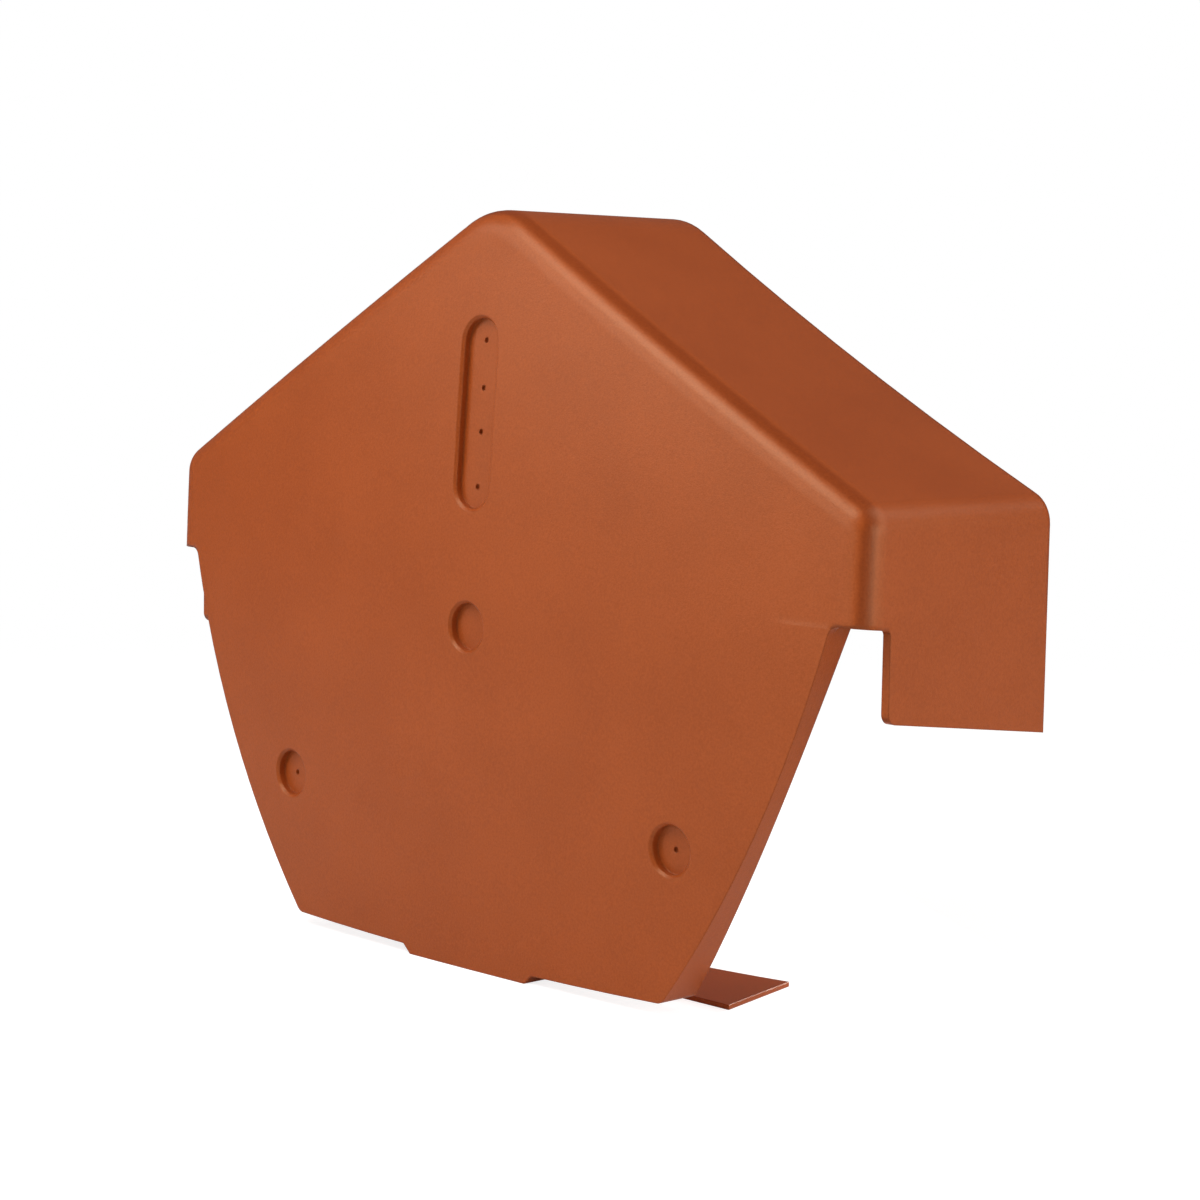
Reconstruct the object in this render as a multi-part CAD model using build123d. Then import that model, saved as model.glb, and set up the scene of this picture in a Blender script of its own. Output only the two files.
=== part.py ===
from build123d import *
import math
import os

# Ridge end cap, one injection moulding. Sizes are in millimetres.
# While it is modelled, Y is 0 at the foremost point of the face and Z is 0 at the shoulders.

# Wall of the moulding
WALL = 2.5

# Gabled hood: half width at the shoulders, height of the ridge above them, depth from the face
HALF_WIDTH = 145
RIDGE_RISE = 81
HOOD_DEPTH = 81
RIDGE_RADIUS = 26
SHOULDER_RADIUS = 9
FRONT_RADIUS = 7.5
ROOF_BOW = 2.4
FRONT_LEAD = 1

# Domed face: radius across, radius up and down, height of its foremost point
DOME_RADIUS_ACROSS = 2000
DOME_RADIUS_UPRIGHT = 1340
DOME_CENTRE_Z = -70

# Hood sides: drop of the side wall at the face, and the wing behind the notch
SIDE_DROP = 29.3
NOTCH_SLOPE = 4.5
NOTCH_CORNER_RADIUS = 3
NOTCH_EDGE_RADIUS = 1.5
WING_FRONT = 16
WING_LENGTH = 25
WING_SLOPE = 7
WING_CORNER_RADIUS = 3

# Apron, the tapered lower part of the face, and how far its top lies in from the hood's sides
APRON_INSET = 11
APRON_HALF_BOTTOM = 78.3
APRON_BOTTOM_Z = -137.6
APRON_SIDE_BOW = 6
APRON_BOTTOM_BOW = 1.3
APRON_CORNER_RADIUS = 3.5

# Return flange round the apron: how far back it reaches at its top, its waist and its foot
FLANGE_TOP_Y = 14.2
FLANGE_WAIST_Y = 9.3
FLANGE_FOOT_Y = 17.4
FLANGE_WAIST_Z = -80

# Foot: a neck that comes through to the face as a tab, and the crossbar behind it
TAB_HALF_WIDTH = 24.8
TAB_END_SLOPE = 2.7
TAB_DROP = 2.6
BAR_THICKNESS = 1.4
BAR_FRONT_Y = 24.3
BAR_REAR_Y = 57.7
BAR_REAR_HOLLOW = 7.6
BAR_HALF_FRONT = 83.8
BAR_HALF_REAR = 75.9

# Recesses in the face, and the pilot dimples on their floors
RECESS_DEPTH = 2.8
RECESS_RIM_BEVEL = 0.8
SLOT_WIDTH = 14
SLOT_TOP_Z = 46.4
SLOT_BOTTOM_Z = -7.9
ROUND_RECESS_RADIUS = 6.8
MIDDLE_RECESS_Z = -41.7
SIDE_RECESS_X = 81.5
SIDE_RECESS_Z = -94.7
DIMPLE_RADIUS = 0.8
DIMPLE_DEPTH = 0.8
SLOT_DIMPLES_Z = (40.1, 26.5, 14, -1.7)

# Worked out from the sizes above
PITCH = math.atan2(RIDGE_RISE, HALF_WIDTH)
INNER_BEVEL = (FRONT_RADIUS - WALL) * (2 - math.sqrt(2))
APRON_HALF_TOP = HALF_WIDTH - APRON_INSET
APRON_TOP_Z = WALL - SIDE_DROP
APRON_LOW_Z = APRON_BOTTOM_Z - APRON_BOTTOM_BOW
FOOT_Z = APRON_LOW_Z - TAB_DROP
SLOT_MIDDLE_Z = (SLOT_TOP_Z + SLOT_BOTTOM_Z) / 2
ROUND_RECESSES = [(0, MIDDLE_RECESS_Z), (-SIDE_RECESS_X, SIDE_RECESS_Z), (SIDE_RECESS_X, SIDE_RECESS_Z)]

# Room that cutting shapes run past the part, and how near counts as the same place
CLEAR = 20
NEAR = 0.01


def face_y(x, z):
    """Depth of the domed face at a place on it."""
    up = DOME_RADIUS_UPRIGHT - math.sqrt(DOME_RADIUS_UPRIGHT**2 - (z - DOME_CENTRE_Z) ** 2)
    return DOME_RADIUS_ACROSS - math.sqrt((DOME_RADIUS_ACROSS - up) ** 2 - x**2)


def upright(sketch, y_from, y_to):
    """A prism along Y, drawn on the plane of the width and the height."""
    return Pos(0, y_from, 0) * extrude(Plane.XZ * sketch, amount=y_from - y_to)


def behind_face(inset):
    """All the space behind the domed face, moved back by an inset."""
    radius = DOME_RADIUS_UPRIGHT - inset
    low = FOOT_Z - CLEAR
    high = RIDGE_RISE + CLEAR
    back = HOOD_DEPTH + 2 * CLEAR

    def arc_point(z):
        return (DOME_RADIUS_UPRIGHT - math.sqrt(radius**2 - (z - DOME_CENTRE_Z) ** 2), z)

    arc = ThreePointArc(arc_point(low), arc_point(DOME_CENTRE_Z), arc_point(high))
    rest = Polyline(arc_point(high), (back, high), (back, low), arc_point(low))
    profile = Plane.YZ * make_face(Wire([*arc.edges(), *rest.edges()]))
    axis = Axis((0, DOME_RADIUS_ACROSS, 0), (0, 0, 1))
    half_angle = math.degrees(math.asin((HALF_WIDTH + CLEAR) / (DOME_RADIUS_ACROSS - back)))
    return revolve(profile.rotate(axis, -half_angle), axis, 2 * half_angle)


def gable_sketch(inset, bow):
    """Pentagon of the hood, its ridge and shoulders rounded and its roof slopes bowed in."""
    half = HALF_WIDTH - inset
    ridge = RIDGE_RISE - inset / math.cos(PITCH)
    shoulder = ridge - half * math.tan(PITCH)
    mid_x = half / 2 - bow * math.sin(PITCH)
    mid_z = (ridge + shoulder) / 2 - bow * math.cos(PITCH)
    left = (-half, shoulder)
    right = (half, shoulder)
    walls = Polyline(left, (-half, FOOT_Z), (half, FOOT_Z), right)
    if bow:
        right_slope = ThreePointArc(right, (mid_x, mid_z), (0, ridge))
        left_slope = ThreePointArc((0, ridge), (-mid_x, mid_z), left)
    else:
        right_slope = Line(right, (0, ridge))
        left_slope = Line((0, ridge), left)
    sketch = make_face(Wire([*walls.edges(), *right_slope.edges(), *left_slope.edges()]))
    corners = sketch.vertices().sort_by(Axis.Y)
    sketch = fillet(corners[-1], RIDGE_RADIUS - inset)
    corners = [v for v in sketch.vertices() if abs(v.Y - shoulder) < NEAR]
    return fillet(corners, SHOULDER_RADIUS - inset)


def hood_block(inset, back):
    """Solid hood behind its domed face. The roof slopes bow in towards the free rear edge."""
    rear_bow = ROOF_BOW * (back + FRONT_LEAD) / (HOOD_DEPTH + FRONT_LEAD)
    front = Pos(0, -FRONT_LEAD, 0) * (Plane.XZ * gable_sketch(inset, 0))
    rear = Pos(0, back, 0) * (Plane.XZ * gable_sketch(inset, rear_bow))
    return loft([front, rear], ruled=True) & behind_face(inset)


def front_rim(block):
    """Edges round a block's domed face, without the lowest one."""
    face = block.faces().sort_by(Axis.Y)[0]
    return [e for e in face.edges() if e.center().Z > FOOT_Z + NEAR]


def hood():
    """Gabled hood: roof slopes, side walls and the upper face, with the notches and wings."""
    outside = hood_block(0, HOOD_DEPTH)
    outside = fillet(front_rim(outside), FRONT_RADIUS)
    inside = hood_block(WALL, HOOD_DEPTH + CLEAR)
    inside = chamfer(front_rim(inside), INNER_BEVEL)
    shell = outside - inside
    edge = face_y(HALF_WIDTH, -SIDE_DROP)
    notch_z = -SIDE_DROP - (WING_FRONT - edge) * math.tan(math.radians(NOTCH_SLOPE))
    wing_z = -SIDE_DROP - WING_LENGTH
    tail_z = wing_z - (HOOD_DEPTH + CLEAR - WING_FRONT) * math.tan(math.radians(WING_SLOPE))
    outline = Polyline(
        (-CLEAR, -SIDE_DROP),
        (edge, -SIDE_DROP),
        (WING_FRONT, notch_z),
        (WING_FRONT, wing_z),
        (HOOD_DEPTH + CLEAR, tail_z),
        (HOOD_DEPTH + CLEAR, FOOT_Z - CLEAR),
        (-CLEAR, FOOT_Z - CLEAR),
        close=True,
    )
    below = make_face(outline)
    below = fillet([v for v in below.vertices() if abs(v.Y - wing_z) < NEAR], WING_CORNER_RADIUS)
    below = fillet([v for v in below.vertices() if abs(v.Y - notch_z) < NEAR], NOTCH_EDGE_RADIUS)
    return shell - extrude(Plane.YZ * below, amount=HALF_WIDTH + CLEAR, both=True)


def apron_sketch(inset):
    """Tapered lower outline with bowed sides and a bowed foot, run up into the hood."""
    top = CLEAR
    notch = -SIDE_DROP
    dx = APRON_HALF_TOP - APRON_HALF_BOTTOM
    dz = notch - APRON_BOTTOM_Z
    length = math.hypot(dx, dz)
    mid_x = (APRON_HALF_TOP + APRON_HALF_BOTTOM) / 2 + APRON_SIDE_BOW * dz / length
    mid_z = (notch + APRON_BOTTOM_Z) / 2 - APRON_SIDE_BOW * dx / length
    low_right = (APRON_HALF_BOTTOM, APRON_BOTTOM_Z)
    low_left = (-APRON_HALF_BOTTOM, APRON_BOTTOM_Z)
    top_right = (APRON_HALF_TOP, notch)
    top_left = (-APRON_HALF_TOP, notch)
    right = ThreePointArc(top_right, (mid_x, mid_z), low_right)
    base = ThreePointArc(low_right, (0, APRON_LOW_Z), low_left)
    left = ThreePointArc(low_left, (-mid_x, mid_z), top_left)
    head = Polyline(top_left, (-APRON_HALF_TOP, top), (APRON_HALF_TOP, top), top_right)
    sketch = make_face(Wire([*right.edges(), *base.edges(), *left.edges(), *head.edges()]))
    if inset:
        sketch = offset(sketch, amount=-inset)
    corners = sketch.vertices().sort_by(Axis.Y)[:2]
    return fillet(corners, APRON_CORNER_RADIUS - inset)


def plate_sketch():
    """Outline of the apron's front plate, with webs in the corners below the hood's edge."""
    top = (Align.CENTER, Align.MAX)
    below_hood = Pos(0, APRON_TOP_Z) * Rectangle(2 * HALF_WIDTH, 2 * HALF_WIDTH, align=top)
    head = Pos(0, APRON_TOP_Z) * Rectangle(2 * (HALF_WIDTH - FRONT_RADIUS), WALL, align=top)
    sketch = (apron_sketch(0) & below_hood) + head
    corners = [
        v for v in sketch.vertices()
        if abs(v.Y + SIDE_DROP) < NEAR and abs(abs(v.X) - APRON_HALF_TOP) < NEAR
    ]
    return fillet(corners, NOTCH_CORNER_RADIUS)


def flange_reach():
    """Side view of the space that the apron's return flange may fill."""
    top = (FLANGE_TOP_Y, APRON_TOP_Z)
    base = (FLANGE_FOOT_Y, FOOT_Z)
    rear = Spline(top, (FLANGE_WAIST_Y, FLANGE_WAIST_Z), base)
    front = Polyline(base, (-CLEAR, FOOT_Z), (-CLEAR, APRON_TOP_Z), top)
    side = make_face(Wire([*rear.edges(), *front.edges()]))
    return extrude(Plane.YZ * side, amount=HALF_WIDTH, both=True)


def apron():
    """Lower face with its return flange along the sides and the foot."""
    block = upright(plate_sketch(), -CLEAR, HOOD_DEPTH) & behind_face(0)
    plate = block - behind_face(WALL)
    rim = upright(apron_sketch(0) - apron_sketch(WALL), -CLEAR, HOOD_DEPTH)
    return plate + (block & rim & flange_reach())


def foot():
    """T-shaped foot: the neck shows at the face as a tab, and the crossbar lies behind."""
    root = TAB_HALF_WIDTH + TAB_END_SLOPE
    top = APRON_LOW_Z + WALL / 2
    flare = TAB_END_SLOPE * (top - FOOT_Z) / TAB_DROP
    tab = make_face(
        Polyline(
            (-TAB_HALF_WIDTH, FOOT_Z),
            (TAB_HALF_WIDTH, FOOT_Z),
            (TAB_HALF_WIDTH + flare, top),
            (-TAB_HALF_WIDTH - flare, top),
            close=True,
        )
    )
    neck = upright(tab, -CLEAR, FLANGE_FOOT_Y) & behind_face(0)
    tongue = Pos(0, (FLANGE_FOOT_Y + BAR_FRONT_Y) / 2, FOOT_Z + BAR_THICKNESS / 2) * Box(
        2 * root, BAR_FRONT_Y - FLANGE_FOOT_Y + 2 * WALL, BAR_THICKNESS
    )
    ends = Polyline(
        (-BAR_HALF_REAR, BAR_REAR_Y),
        (-BAR_HALF_FRONT, BAR_FRONT_Y),
        (BAR_HALF_FRONT, BAR_FRONT_Y),
        (BAR_HALF_REAR, BAR_REAR_Y),
    )
    rear = ThreePointArc(
        (BAR_HALF_REAR, BAR_REAR_Y), (0, BAR_REAR_Y - BAR_REAR_HOLLOW), (-BAR_HALF_REAR, BAR_REAR_Y)
    )
    bar = extrude(Pos(0, 0, FOOT_Z) * make_face(Wire([*ends.edges(), *rear.edges()])), amount=BAR_THICKNESS)
    return neck + tongue + bar


def face_plane(x, z, depth):
    """Plane that follows the domed face at a place, moved back by a depth."""
    outward = (x / DOME_RADIUS_ACROSS, -1, (z - DOME_CENTRE_Z) / DOME_RADIUS_UPRIGHT)
    return Plane(origin=(x, face_y(x, z) + depth, z), x_dir=(1, 0, 0), z_dir=outward)


def recess_outlines(margin):
    """Outline of the slot and of each round recess, grown by a margin, with its place."""
    slot = SlotOverall(SLOT_TOP_Z - SLOT_BOTTOM_Z + 2 * margin, SLOT_WIDTH + 2 * margin, rotation=90)
    disc = Circle(ROUND_RECESS_RADIUS + margin)
    return [(0, SLOT_MIDDLE_Z, slot)] + [(x, z, disc) for x, z in ROUND_RECESSES]


def pressed(x, z, outline, depth):
    """Prism of a recess outline that ends at a flat floor, as deep as asked for."""
    prism = upright(Pos(x, z) * outline, -CLEAR, CLEAR)
    return split(prism, face_plane(x, z, depth), keep=Keep.TOP)


def add_recesses(body):
    """Each recess is a pad behind the wall, then a pocket pressed into the face."""
    space = behind_face(WALL / 2)
    for x, z, outline in recess_outlines(WALL):
        body += pressed(x, z, outline, RECESS_DEPTH + WALL) & space
    for x, z, outline in recess_outlines(0):
        body -= pressed(x, z, outline, RECESS_DEPTH)
    return chamfer(recess_rims(body), RECESS_RIM_BEVEL)


def recess_rims(body):
    """Edges where the walls of the recesses meet the domed face."""
    reaches = [(0, SLOT_MIDDLE_Z, SLOT_TOP_Z - SLOT_MIDDLE_Z)]
    reaches += [(x, z, ROUND_RECESS_RADIUS) for x, z in ROUND_RECESSES]
    rims = []
    for edge in body.edges():
        x, y, z = edge @ 0.5
        on_face = abs(y - face_y(x, z)) < NEAR
        if on_face and any(math.hypot(x - u, z - w) < reach + NEAR for u, w, reach in reaches):
            rims.append(edge)
    return rims


def add_dimples(body):
    """Small round pilot marks in the floors of the slot and of the side recesses."""
    mark = Cylinder(DIMPLE_RADIUS, 2 * DIMPLE_DEPTH)
    slot_floor = face_plane(0, SLOT_MIDDLE_Z, RECESS_DEPTH)
    for z in SLOT_DIMPLES_Z:
        body -= slot_floor * Pos(0, z - SLOT_MIDDLE_Z, 0) * mark
    for x, z in ROUND_RECESSES[1:]:
        body -= face_plane(x, z, RECESS_DEPTH) * mark
    return body


def ridge_end_cap():
    """The whole moulding, stood on its foot with its origin at the middle of its base."""
    body = hood() + apron() + foot()
    body = add_recesses(body)
    body = add_dimples(body)
    return Pos(0, -HOOD_DEPTH / 2, -FOOT_Z) * body


os.makedirs("parts", exist_ok=True)
cap = ridge_end_cap()
cap.label = "ridge_end_cap"
export_step(cap, "parts/ridge_end_cap.step")
print("volume", round(cap.volume), "solids", len(cap.solids()), "centre", cap.center(CenterOf.MASS))
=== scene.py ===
# Ridge end cap in terracotta plastic, standing on a pale floor. Lengths are in metres.
import math

import bpy
from mathutils import Matrix, Vector


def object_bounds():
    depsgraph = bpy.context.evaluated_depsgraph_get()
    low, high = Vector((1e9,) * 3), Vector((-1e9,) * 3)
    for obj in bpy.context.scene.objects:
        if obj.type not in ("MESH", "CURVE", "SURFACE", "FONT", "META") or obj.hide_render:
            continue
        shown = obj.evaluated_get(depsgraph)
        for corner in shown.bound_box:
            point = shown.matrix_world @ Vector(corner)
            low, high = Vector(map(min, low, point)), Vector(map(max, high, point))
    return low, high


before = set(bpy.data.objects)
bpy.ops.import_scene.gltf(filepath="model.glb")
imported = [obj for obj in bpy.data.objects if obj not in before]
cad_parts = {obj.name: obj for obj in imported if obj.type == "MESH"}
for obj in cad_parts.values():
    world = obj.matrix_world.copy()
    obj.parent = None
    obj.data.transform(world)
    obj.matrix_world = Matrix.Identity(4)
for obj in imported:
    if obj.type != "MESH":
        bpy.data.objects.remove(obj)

CAD_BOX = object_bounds()

# Camera: turn to the right of the face, height above the horizon, tilt of the frame, distance
CAMERA_TURN = math.radians(45.65)
CAMERA_RISE = math.radians(6.05)
CAMERA_TILT = math.radians(0.99)
CAMERA_DISTANCE = 0.8108
CAMERA_LOOKS_AT = Vector((0.05576, -0.04102, 0.11253))
CAMERA_LENS = 89.41
SENSOR_WIDTH = 36

# Pigment at its deepest and palest, tint of the sheen, and the painted shade that darkens
# outside corners
TERRACOTTA_DEEP = (0.302, 0.053, 0.0075, 1)
TERRACOTTA_PALE = (0.372, 0.070, 0.0115, 1)
SHEEN_TINT = (1, 0.75, 0.47, 1)
PAINTED_CORNER_SHADE = (0.7, 0.64, 0.62, 1)

# Noise on the surface, as scale and detail
PIGMENT_CLOUD = (28, 3)
PIGMENT_SPECK = (1500, 2)
ERODED_GRAIN = (2400, 3)
NOISE_ROUGHNESS = 0.55
# Share of the specks in the tone, and the tones at which the pigment is deepest and palest
SPECK_SHARE = 0.65
DEEP_TONE = 0.36
PALE_TONE = 0.64
# Grain as a bump, and the sheen of the plastic
GRAIN_HEIGHT = 0.0001
GRAIN_STRENGTH = 0.5
SMOOTHEST = 0.32
ROUGHER_BY = 0.08
PLASTIC_IOR = 1.49

# Edges softened in the shading, as radius and samples: crisp ones, and the hood's rolled ones
CRISP_EDGE = (0.0006, 4)
ROLLED_EDGE = (0.0023, 8)
# Edges count as rolled beside the slot or above it, and only above the verge gaps
BESIDE_SLOT = (0.014, 0.02)
ABOVE_SLOT = (0.195, 0.203)
ABOVE_GAPS = (0.1113, 0.1119)
# Painted corner shade goes there and also lower down, further out than the round recesses
BESIDE_RECESSES = (0.09, 0.094)
# Facing is 1 for forwards, this much for upwards and 0 for sideways, and corners lie between
FACING_UPWARDS = 0.35
CORNER_STARTS = (0.36, 0.58)
CORNER_ENDS = (0.78, 0.93)

# Floor: half its side, its colour as it lights the part and as the camera sees it, the glow
# added for the camera, and the distances over which it turns plain white for the camera
FLOOR_HALF = 3
FLOOR_PALE = (0.74, 0.74, 0.74, 1)
FLOOR_SEEN = (0.45, 0.45, 0.45, 1)
FLOOR_LIFT = 0.8
FLOOR_FADE = (0.2, 0.9)
# The white of floor and room, and the strength of the light all round the part
WHITE = (1, 1, 1, 1)
ROOM_LIGHT = 0.114

# Softboxes: name, direction they stand in from the middle of the part, distance, side, power
SOFTBOXES = (
    ("side_right", (1, -0.15, 0.14), 1.6, 0.8, 6.6),
    ("side_rear", (0.9, 0.45, 0.3), 1.6, 1, 5.4),
    ("side_low", (0.95, 0.1, 0.03), 1.6, 0.8, 2.6),
    ("top_right", (0.6, 0.1, 0.8), 1.5, 0.8, 3.0),
    ("top_rear", (0.5, 0.5, 0.7), 1.5, 0.8, 3.6),
    ("near_top", (-0.1, -0.6, 0.75), 0.75, 0.4, 3.3),
    ("front", (0, -1, 0.04), 1.3, 0.5, 1.5),
    ("front_left", (-0.57, -0.78, 0.27), 1.3, 0.5, 2.3),
    ("front_left_inner", (-0.3, -0.91, 0.29), 1.3, 0.5, 1.8),
    ("front_left_high", (-0.62, -0.55, 0.52), 1.3, 0.5, 1.6),
    ("behind_foot", (0.075, 0.13, -0.064), 0.163, 0.06, 0.25),
)

# Sockets of a Mix node, which go by number: its factor, its vectors and its colours
FACTOR, VECTOR_A, VECTOR_B, COLOUR_A, COLOUR_B = 0, 4, 5, 6, 7
VECTOR_OUT, COLOUR_OUT = 1, 2


class Value:
    """What a node gives. Sums on a number add Math nodes to its finish."""

    def __init__(self, finish, socket):
        self.finish = finish
        self.socket = socket

    def work_out(self, operation, *numbers):
        sockets = dict(enumerate(numbers))
        return self.finish.node("ShaderNodeMath", {"operation": operation}, sockets)

    def __add__(self, other):
        return self.work_out("ADD", self, other)

    def __radd__(self, other):
        return self.work_out("ADD", other, self)

    def __sub__(self, other):
        return self.work_out("SUBTRACT", self, other)

    def __rsub__(self, other):
        return self.work_out("SUBTRACT", other, self)

    def __mul__(self, other):
        return self.work_out("MULTIPLY", self, other)

    def __rmul__(self, other):
        return self.work_out("MULTIPLY", other, self)

    def __abs__(self):
        return self.work_out("ABSOLUTE", self)

    def or_more(self, other):
        """The larger of the two."""
        return self.work_out("MAXIMUM", self, other)


class Finish:
    """The shader nodes of a material or of the room."""

    def __init__(self, owner):
        self.owner = owner
        owner.use_nodes = True
        self.tree = owner.node_tree
        self.tree.nodes.clear()

    def node(self, kind, settings=None, sockets=None, output=0):
        """Adds a node, sets it up, feeds its sockets and gives the output asked for."""
        node = self.tree.nodes.new(kind)
        for name, value in (settings or {}).items():
            if name == "stops":
                set_stops(node.color_ramp, value)
            else:
                setattr(node, name, value)
        for key, value in (sockets or {}).items():
            if isinstance(value, Value):
                self.tree.links.new(value.socket, node.inputs[key])
            else:
                node.inputs[key].default_value = value
        return Value(self, node.outputs[output]) if node.outputs else None

    def along(self, vector, axis):
        """One part of a vector, by the letter of its axis."""
        return self.node("ShaderNodeSeparateXYZ", None, {"Vector": vector}, axis)

    def noise(self, place, scale, detail):
        """Cloudy noise between 0 and 1."""
        return self.node(
            "ShaderNodeTexNoise", {"noise_dimensions": "3D"},
            {"Vector": place, "Scale": scale, "Detail": detail, "Roughness": NOISE_ROUGHNESS},
        )

    def rise(self, value, start, end):
        """Rises smoothly from 0 at the start to 1 at the end."""
        return self.node(
            "ShaderNodeMapRange", {"interpolation_type": "SMOOTHSTEP"},
            {"Value": value, "From Min": start, "From Max": end},
        )

    def rounded(self, radius, samples):
        """Normal of the surface as if its edges were rounded."""
        return self.node("ShaderNodeBevel", {"samples": samples}, {"Radius": radius})

    def blend(self, factor, first, second):
        """Goes from the first shader to the second as the factor goes from 0 to 1."""
        return self.node("ShaderNodeMixShader", None, {"Fac": factor, 1: first, 2: second})

    def close(self, surface, output="ShaderNodeOutputMaterial"):
        """Ends the nodes with the surface, and gives back what they belong to."""
        self.node(output, sockets={"Surface": surface})
        return self.owner


def set_stops(ramp, stops):
    """Colour ramp with the given places and colours."""
    for element, (place, colour) in zip(ramp.elements, stops):
        element.position = place
        element.color = colour


def mottled_pigment(finish, place, speck):
    """Terracotta that goes from deep to pale with slight clouds and specks."""
    tone = finish.noise(place, *PIGMENT_CLOUD) * (1 - SPECK_SHARE) + speck * SPECK_SHARE
    stops = [(DEEP_TONE, TERRACOTTA_DEEP), (PALE_TONE, TERRACOTTA_PALE)]
    return finish.node("ShaderNodeValToRGB", {"stops": stops}, {"Fac": tone})


def softened_edges(finish, rolled):
    """Normal with crisp edges a little rounded, and with rolled ones where the mask is 1."""
    edges = {
        FACTOR: rolled,
        VECTOR_A: finish.rounded(*CRISP_EDGE),
        VECTOR_B: finish.rounded(*ROLLED_EDGE),
    }
    return finish.node("ShaderNodeMix", {"data_type": "VECTOR"}, edges, VECTOR_OUT)


def outside_corner(finish, normal):
    """1 in the middle of a corner between the front and a side or the top, 0 off it; this is
    where shade is painted.
    """
    facing = finish.along(normal, "Z") * FACING_UPWARDS - finish.along(normal, "Y")
    return finish.rise(facing, *CORNER_STARTS) * (1 - finish.rise(facing, *CORNER_ENDS))


def terracotta_plastic():
    """Moulded plastic: fine eroded grain, painted shade on outside corners, soft warm sheen.
    """
    finish = Finish(bpy.data.materials.new("terracotta_plastic_moulded"))
    place = finish.node("ShaderNodeTexCoord", output="Object")
    speck = finish.noise(place, *PIGMENT_SPECK)
    sideways = abs(finish.along(place, "X"))
    height = finish.along(place, "Z")

    off_slot = finish.rise(sideways, *BESIDE_SLOT).or_more(finish.rise(height, *ABOVE_SLOT))
    rolled = off_slot * finish.rise(height, *ABOVE_GAPS)
    normal = softened_edges(finish, rolled)
    off_recesses = rolled.or_more(finish.rise(sideways, *BESIDE_RECESSES))
    # Painted shade: the colour of the outside corners is multiplied darker
    painted_shade_mix = {
        FACTOR: outside_corner(finish, normal) * off_recesses,
        COLOUR_A: mottled_pigment(finish, place, speck),
        COLOUR_B: PAINTED_CORNER_SHADE,
    }
    colour = finish.node(
        "ShaderNodeMix", {"data_type": "RGBA", "blend_type": "MULTIPLY"}, painted_shade_mix, COLOUR_OUT
    )
    bump = finish.node(
        "ShaderNodeBump", None,
        {
            "Strength": GRAIN_STRENGTH,
            "Distance": GRAIN_HEIGHT,
            "Height": finish.noise(place, *ERODED_GRAIN),
            "Normal": normal,
        },
    )
    return finish.close(finish.node(
        "ShaderNodeBsdfPrincipled", None,
        {
            "Base Color": colour,
            "Roughness": SMOOTHEST + speck * ROUGHER_BY,
            "IOR": PLASTIC_IOR,
            "Specular Tint": SHEEN_TINT,
            "Normal": bump,
        },
    ))


def pale_floor():
    """Pale floor that the camera sees turn plain white away from the part, like a sweep."""
    finish = Finish(bpy.data.materials.new("pale_floor"))
    place = finish.node("ShaderNodeTexCoord", output="Object")
    distance = finish.node(
        "ShaderNodeVectorMath", {"operation": "LENGTH"}, {0: place}, "Value"
    )
    matt = finish.node("ShaderNodeBsdfDiffuse", None, {"Color": FLOOR_SEEN})
    lift = finish.node("ShaderNodeEmission", None, {"Color": WHITE, "Strength": FLOOR_LIFT})
    near = finish.node("ShaderNodeAddShader", None, {0: matt, 1: lift})
    far = finish.node("ShaderNodeEmission", None, {"Color": WHITE})
    seen = finish.blend(finish.rise(distance, *FLOOR_FADE), near, far)
    unseen = finish.node("ShaderNodeBsdfDiffuse", None, {"Color": FLOOR_PALE})
    from_camera = finish.node("ShaderNodeLightPath", output="Is Camera Ray")
    return finish.close(finish.blend(from_camera, unseen, seen))


def studio():
    """Dim light all round, with plain white behind the part."""
    finish = Finish(bpy.data.worlds.new("studio"))
    dim = finish.node("ShaderNodeBackground", None, {"Color": WHITE, "Strength": ROOM_LIGHT})
    plain = finish.node("ShaderNodeBackground", None, {"Color": WHITE, "Strength": 1})
    from_camera = finish.node("ShaderNodeLightPath", output="Is Camera Ray")
    return finish.close(finish.blend(from_camera, dim, plain), "ShaderNodeOutputWorld")


def add_floor():
    """The floor, which is scenery and no piece of the part."""
    bpy.ops.mesh.primitive_plane_add(size=2 * FLOOR_HALF, location=(0, 0, 0))
    floor = bpy.context.object
    floor.name = "floor"
    floor.data.materials.append(pale_floor())


def add_softbox(name, toward, distance, side, power):
    """A square soft light that faces the middle of the part."""
    direction = Vector(toward).normalized()
    data = bpy.data.lights.new(name, "AREA")
    data.shape = "SQUARE"
    data.size = side
    data.energy = power
    light = bpy.data.objects.new(name, data)
    light.location = (CAD_BOX[0] + CAD_BOX[1]) / 2 + direction * distance
    light.rotation_euler = direction.to_track_quat("Z", "Y").to_euler()
    bpy.context.scene.collection.objects.link(light)


def add_camera():
    """Camera at the photograph's viewing angle."""
    back = Vector((
        math.sin(CAMERA_TURN) * math.cos(CAMERA_RISE),
        -math.cos(CAMERA_TURN) * math.cos(CAMERA_RISE),
        math.sin(CAMERA_RISE),
    ))
    data = bpy.data.cameras.new("camera")
    data.lens = CAMERA_LENS
    data.sensor_width = SENSOR_WIDTH
    camera = bpy.data.objects.new("camera", data)
    turn = (-back).to_track_quat("-Z", "Y").to_matrix().to_4x4()
    tilt = Matrix.Rotation(CAMERA_TILT, 4, "Z")
    place = Matrix.Translation(CAMERA_LOOKS_AT + back * CAMERA_DISTANCE)
    camera.matrix_world = place @ turn @ tilt
    bpy.context.scene.collection.objects.link(camera)
    bpy.context.scene.camera = camera


bpy.context.scene.view_settings.view_transform = "Standard"
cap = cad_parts["ridge_end_cap"]
cap.data.materials.clear()
cap.data.materials.append(terracotta_plastic())
add_floor()
bpy.context.scene.world = studio()
for softbox in SOFTBOXES:
    add_softbox(*softbox)
add_camera()
